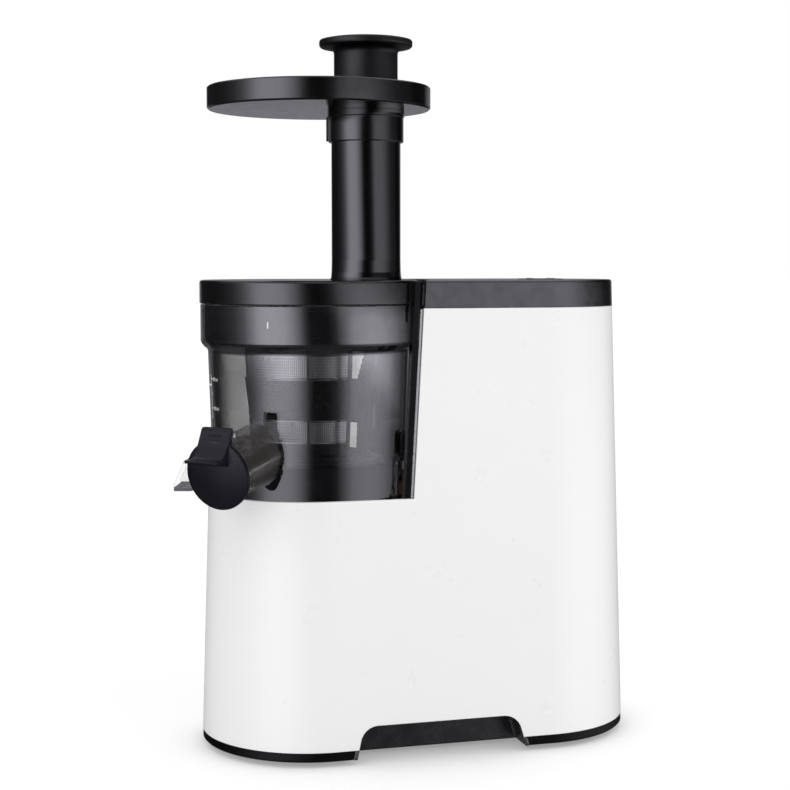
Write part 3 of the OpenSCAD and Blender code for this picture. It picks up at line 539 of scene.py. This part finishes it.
THETA, PHI, DIST = math.radians(15.977), math.radians(4.524), 1131.646
XO, ZC, FOCAL = 58.658, 327.799, 1659.746
fw = Vector((math.sin(THETA) * math.cos(PHI), math.cos(THETA) * math.cos(PHI), -math.sin(PHI)))
rt = Vector((math.cos(THETA), -math.sin(THETA), 0))
up = rt.cross(fw)
eye = mm(-DIST * math.sin(THETA) + XO * rt.x, -DIST * math.cos(THETA) + XO * rt.y, ZC)
cam_data = bpy.data.cameras.new("camera")
cam_data.sensor_width = 36
cam_data.lens = FOCAL / 790 * 36
cam_data.clip_start = 0.01
cam_data.clip_end = 100
cam = bpy.data.objects.new("camera", cam_data)
scene.collection.objects.link(cam)
rot = Matrix((rt, up, -fw)).transposed().to_4x4()
cam.matrix_world = Matrix.Translation(eye) @ rot
scene.camera = cam


def area(name, at, look, w, h, power, glossy=False):
    d = bpy.data.lights.new(name, "AREA")
    d.shape = "RECTANGLE"
    d.size, d.size_y, d.energy = w, h, power
    o = bpy.data.objects.new(name, d)
    scene.collection.objects.link(o)
    o.location = at
    o.rotation_euler = (Vector(look) - Vector(at)).to_track_quat("-Z", "Y").to_euler()
    o.visible_glossy = glossy
    return o


area("key_above_right", (1.1, -1.3, 1.9), (0.0, 0.0, 0.15), 1.5, 1.5, 2.7)
area("fill_above_left", (-1.6, -0.9, 1.5), (0.0, 0.0, 0.15), 1.6, 1.6, 1.2)


def world():
    """An even pale surround that lights everything, with soft upright light boxes in it for what shines."""
    w = bpy.data.worlds.new("studio")
    scene.world = w
    w.use_nodes = True
    nt = w.node_tree
    nt.nodes.clear()
    out = nt.nodes.new("ShaderNodeOutputWorld")
    bg = nt.nodes.new("ShaderNodeBackground")
    nt.links.new(bg.outputs[0], out.inputs[0])
    co = nt.nodes.new("ShaderNodeTexCoord").outputs["Generated"]

    def dot(v):
        n = nt.nodes.new("ShaderNodeVectorMath")
        n.operation = "DOT_PRODUCT"
        nt.links.new(co, n.inputs[0])
        n.inputs[1].default_value = v
        return n.outputs["Value"]

    def math_(op, a, b=0.0):
        n = nt.nodes.new("ShaderNodeMath")
        n.operation = op
        for i, v in enumerate((a, b)):
            if isinstance(v, bpy.types.NodeSocket):
                nt.links.new(v, n.inputs[i])
            else:
                n.inputs[i].default_value = v
        return n.outputs[0]

    side = dot((math.cos(THETA), -math.sin(THETA), 0))
    front = dot((-math.sin(THETA), -math.cos(THETA), 0))
    beta = math_("ARCTAN2", side, front)
    z = dot((0, 0, 1))
    lean = nt.nodes.new("ShaderNodeMapRange")
    nt.links.new(z, lean.inputs["Value"])
    for k, x in zip(("From Min", "From Max", "To Min", "To Max"), (-0.08, 0.09, math.radians(-7), math.radians(9))):
        lean.inputs[k].default_value = x
    pos = math_("ADD", math_("DIVIDE", math_("ADD", beta, lean.outputs["Result"]), 2 * math.pi), 0.5)
    top = 5.0

    def around_the_room(bands):
        """Brightness by compass angle from the camera's side, negative to the left."""
        ramp = nt.nodes.new("ShaderNodeValToRGB")
        ramp.color_ramp.interpolation = "LINEAR"
        el = ramp.color_ramp.elements
        while len(el) > 1:
            el.remove(el[0])
        el[0].position = 0.0
        el[0].color = (bands[0][1] / top,) * 3 + (1,)
        for d, v in bands[1:]:
            e = el.new((d + 180) / 360)
            e.color = (v / top,) * 3 + (1,)
        nt.links.new(pos, ramp.inputs[0])
        return math_("MULTIPLY", ramp.outputs[0], top)

    left = [(-180, .32), (-160, .28), (-149, .02), (-112, .05), (-98, .13), (-84, .34), (-72, .95), (-62, 2.3), (-54, 3.8), (-46, 4.4),
            (-34, 4.4), (-26, 4.1), (-18, 3.0), (-10, 1.5), (-4, .4), (1, .06)]
    upper = around_the_room(left + [(12, .04), (19, .11), (26, .42), (34, 1.5), (41, 1.85), (60, 1.7), (72, 1.2), (84, .6), (96, .22),
                                    (112, .12), (126, .02), (149, .02), (160, .28), (180, .32)])
    lower = around_the_room(left + [(20, .03), (28, .2), (38, 1.5), (48, 3.2), (58, 3.7), (70, 3.8), (82, 3.4), (96, 2.3), (111, 1.0),
                                    (129, .2), (145, .02), (160, .28), (180, .32)])

    def smooth(v, a0, a1, b0, b1):
        n = nt.nodes.new("ShaderNodeMapRange")
        n.interpolation_type = "SMOOTHSTEP"
        nt.links.new(v, n.inputs["Value"])
        for k, x in zip(("From Min", "From Max", "To Min", "To Max"), (a0, a1, b0, b1)):
            n.inputs[k].default_value = x
        return n.outputs["Result"]

    # the right-hand light box is broader low down, and both boxes end a little above and below the object
    mix_low = smooth(z, -0.033, -0.021, 1, 0)
    value = math_("ADD", math_("MULTIPLY", upper, math_("SUBTRACT", 1.0, mix_low)), math_("MULTIPLY", lower, mix_low))
    value = math_("MULTIPLY", value, smooth(z, -0.125, -0.105, 0.45, 1.0))
    dim = math_("MULTIPLY", smooth(side, 0.0, 0.2, 0, 1), smooth(z, 0.110, 0.122, 0, 0.85))
    value = math_("MULTIPLY", value, math_("SUBTRACT", 1.0, dim))
    high = smooth(z, 0.42, 0.72, 0, 1)
    low = smooth(z, -0.75, -0.35, 1, 0)
    value = math_("ADD", math_("MULTIPLY", value, math_("SUBTRACT", 1.0, high)), math_("MULTIPLY", high, 1.1))
    value = math_("ADD", math_("MULTIPLY", value, math_("SUBTRACT", 1.0, low)), math_("MULTIPLY", low, 0.16))
    lp = nt.nodes.new("ShaderNodeLightPath")
    glossy = lp.outputs["Is Glossy Ray"]
    strength = math_("ADD", math_("MULTIPLY", value, glossy), math_("MULTIPLY", math_("SUBTRACT", 1.0, glossy), 1.0))
    nt.links.new(strength, bg.inputs["Strength"])
    tint = nt.nodes.new("ShaderNodeMix")
    tint.data_type = "RGBA"
    nt.links.new(glossy, tint.inputs[0])
    tint.inputs[6].default_value = (1, 1, 1, 1)
    tint.inputs[7].default_value = (0.99, 0.975, 1.08, 1)
    nt.links.new(tint.outputs[2], bg.inputs["Color"])


# What shines shows the light boxes, not the housing beside it.
for name in ("bowl_cradle", "outer_shell", "cradle_trim", "top_cover"):
    NODES[name].visible_glossy = False

world()
scene.view_settings.view_transform = "Standard"
scene.cycles.transparent_max_bounces = 32
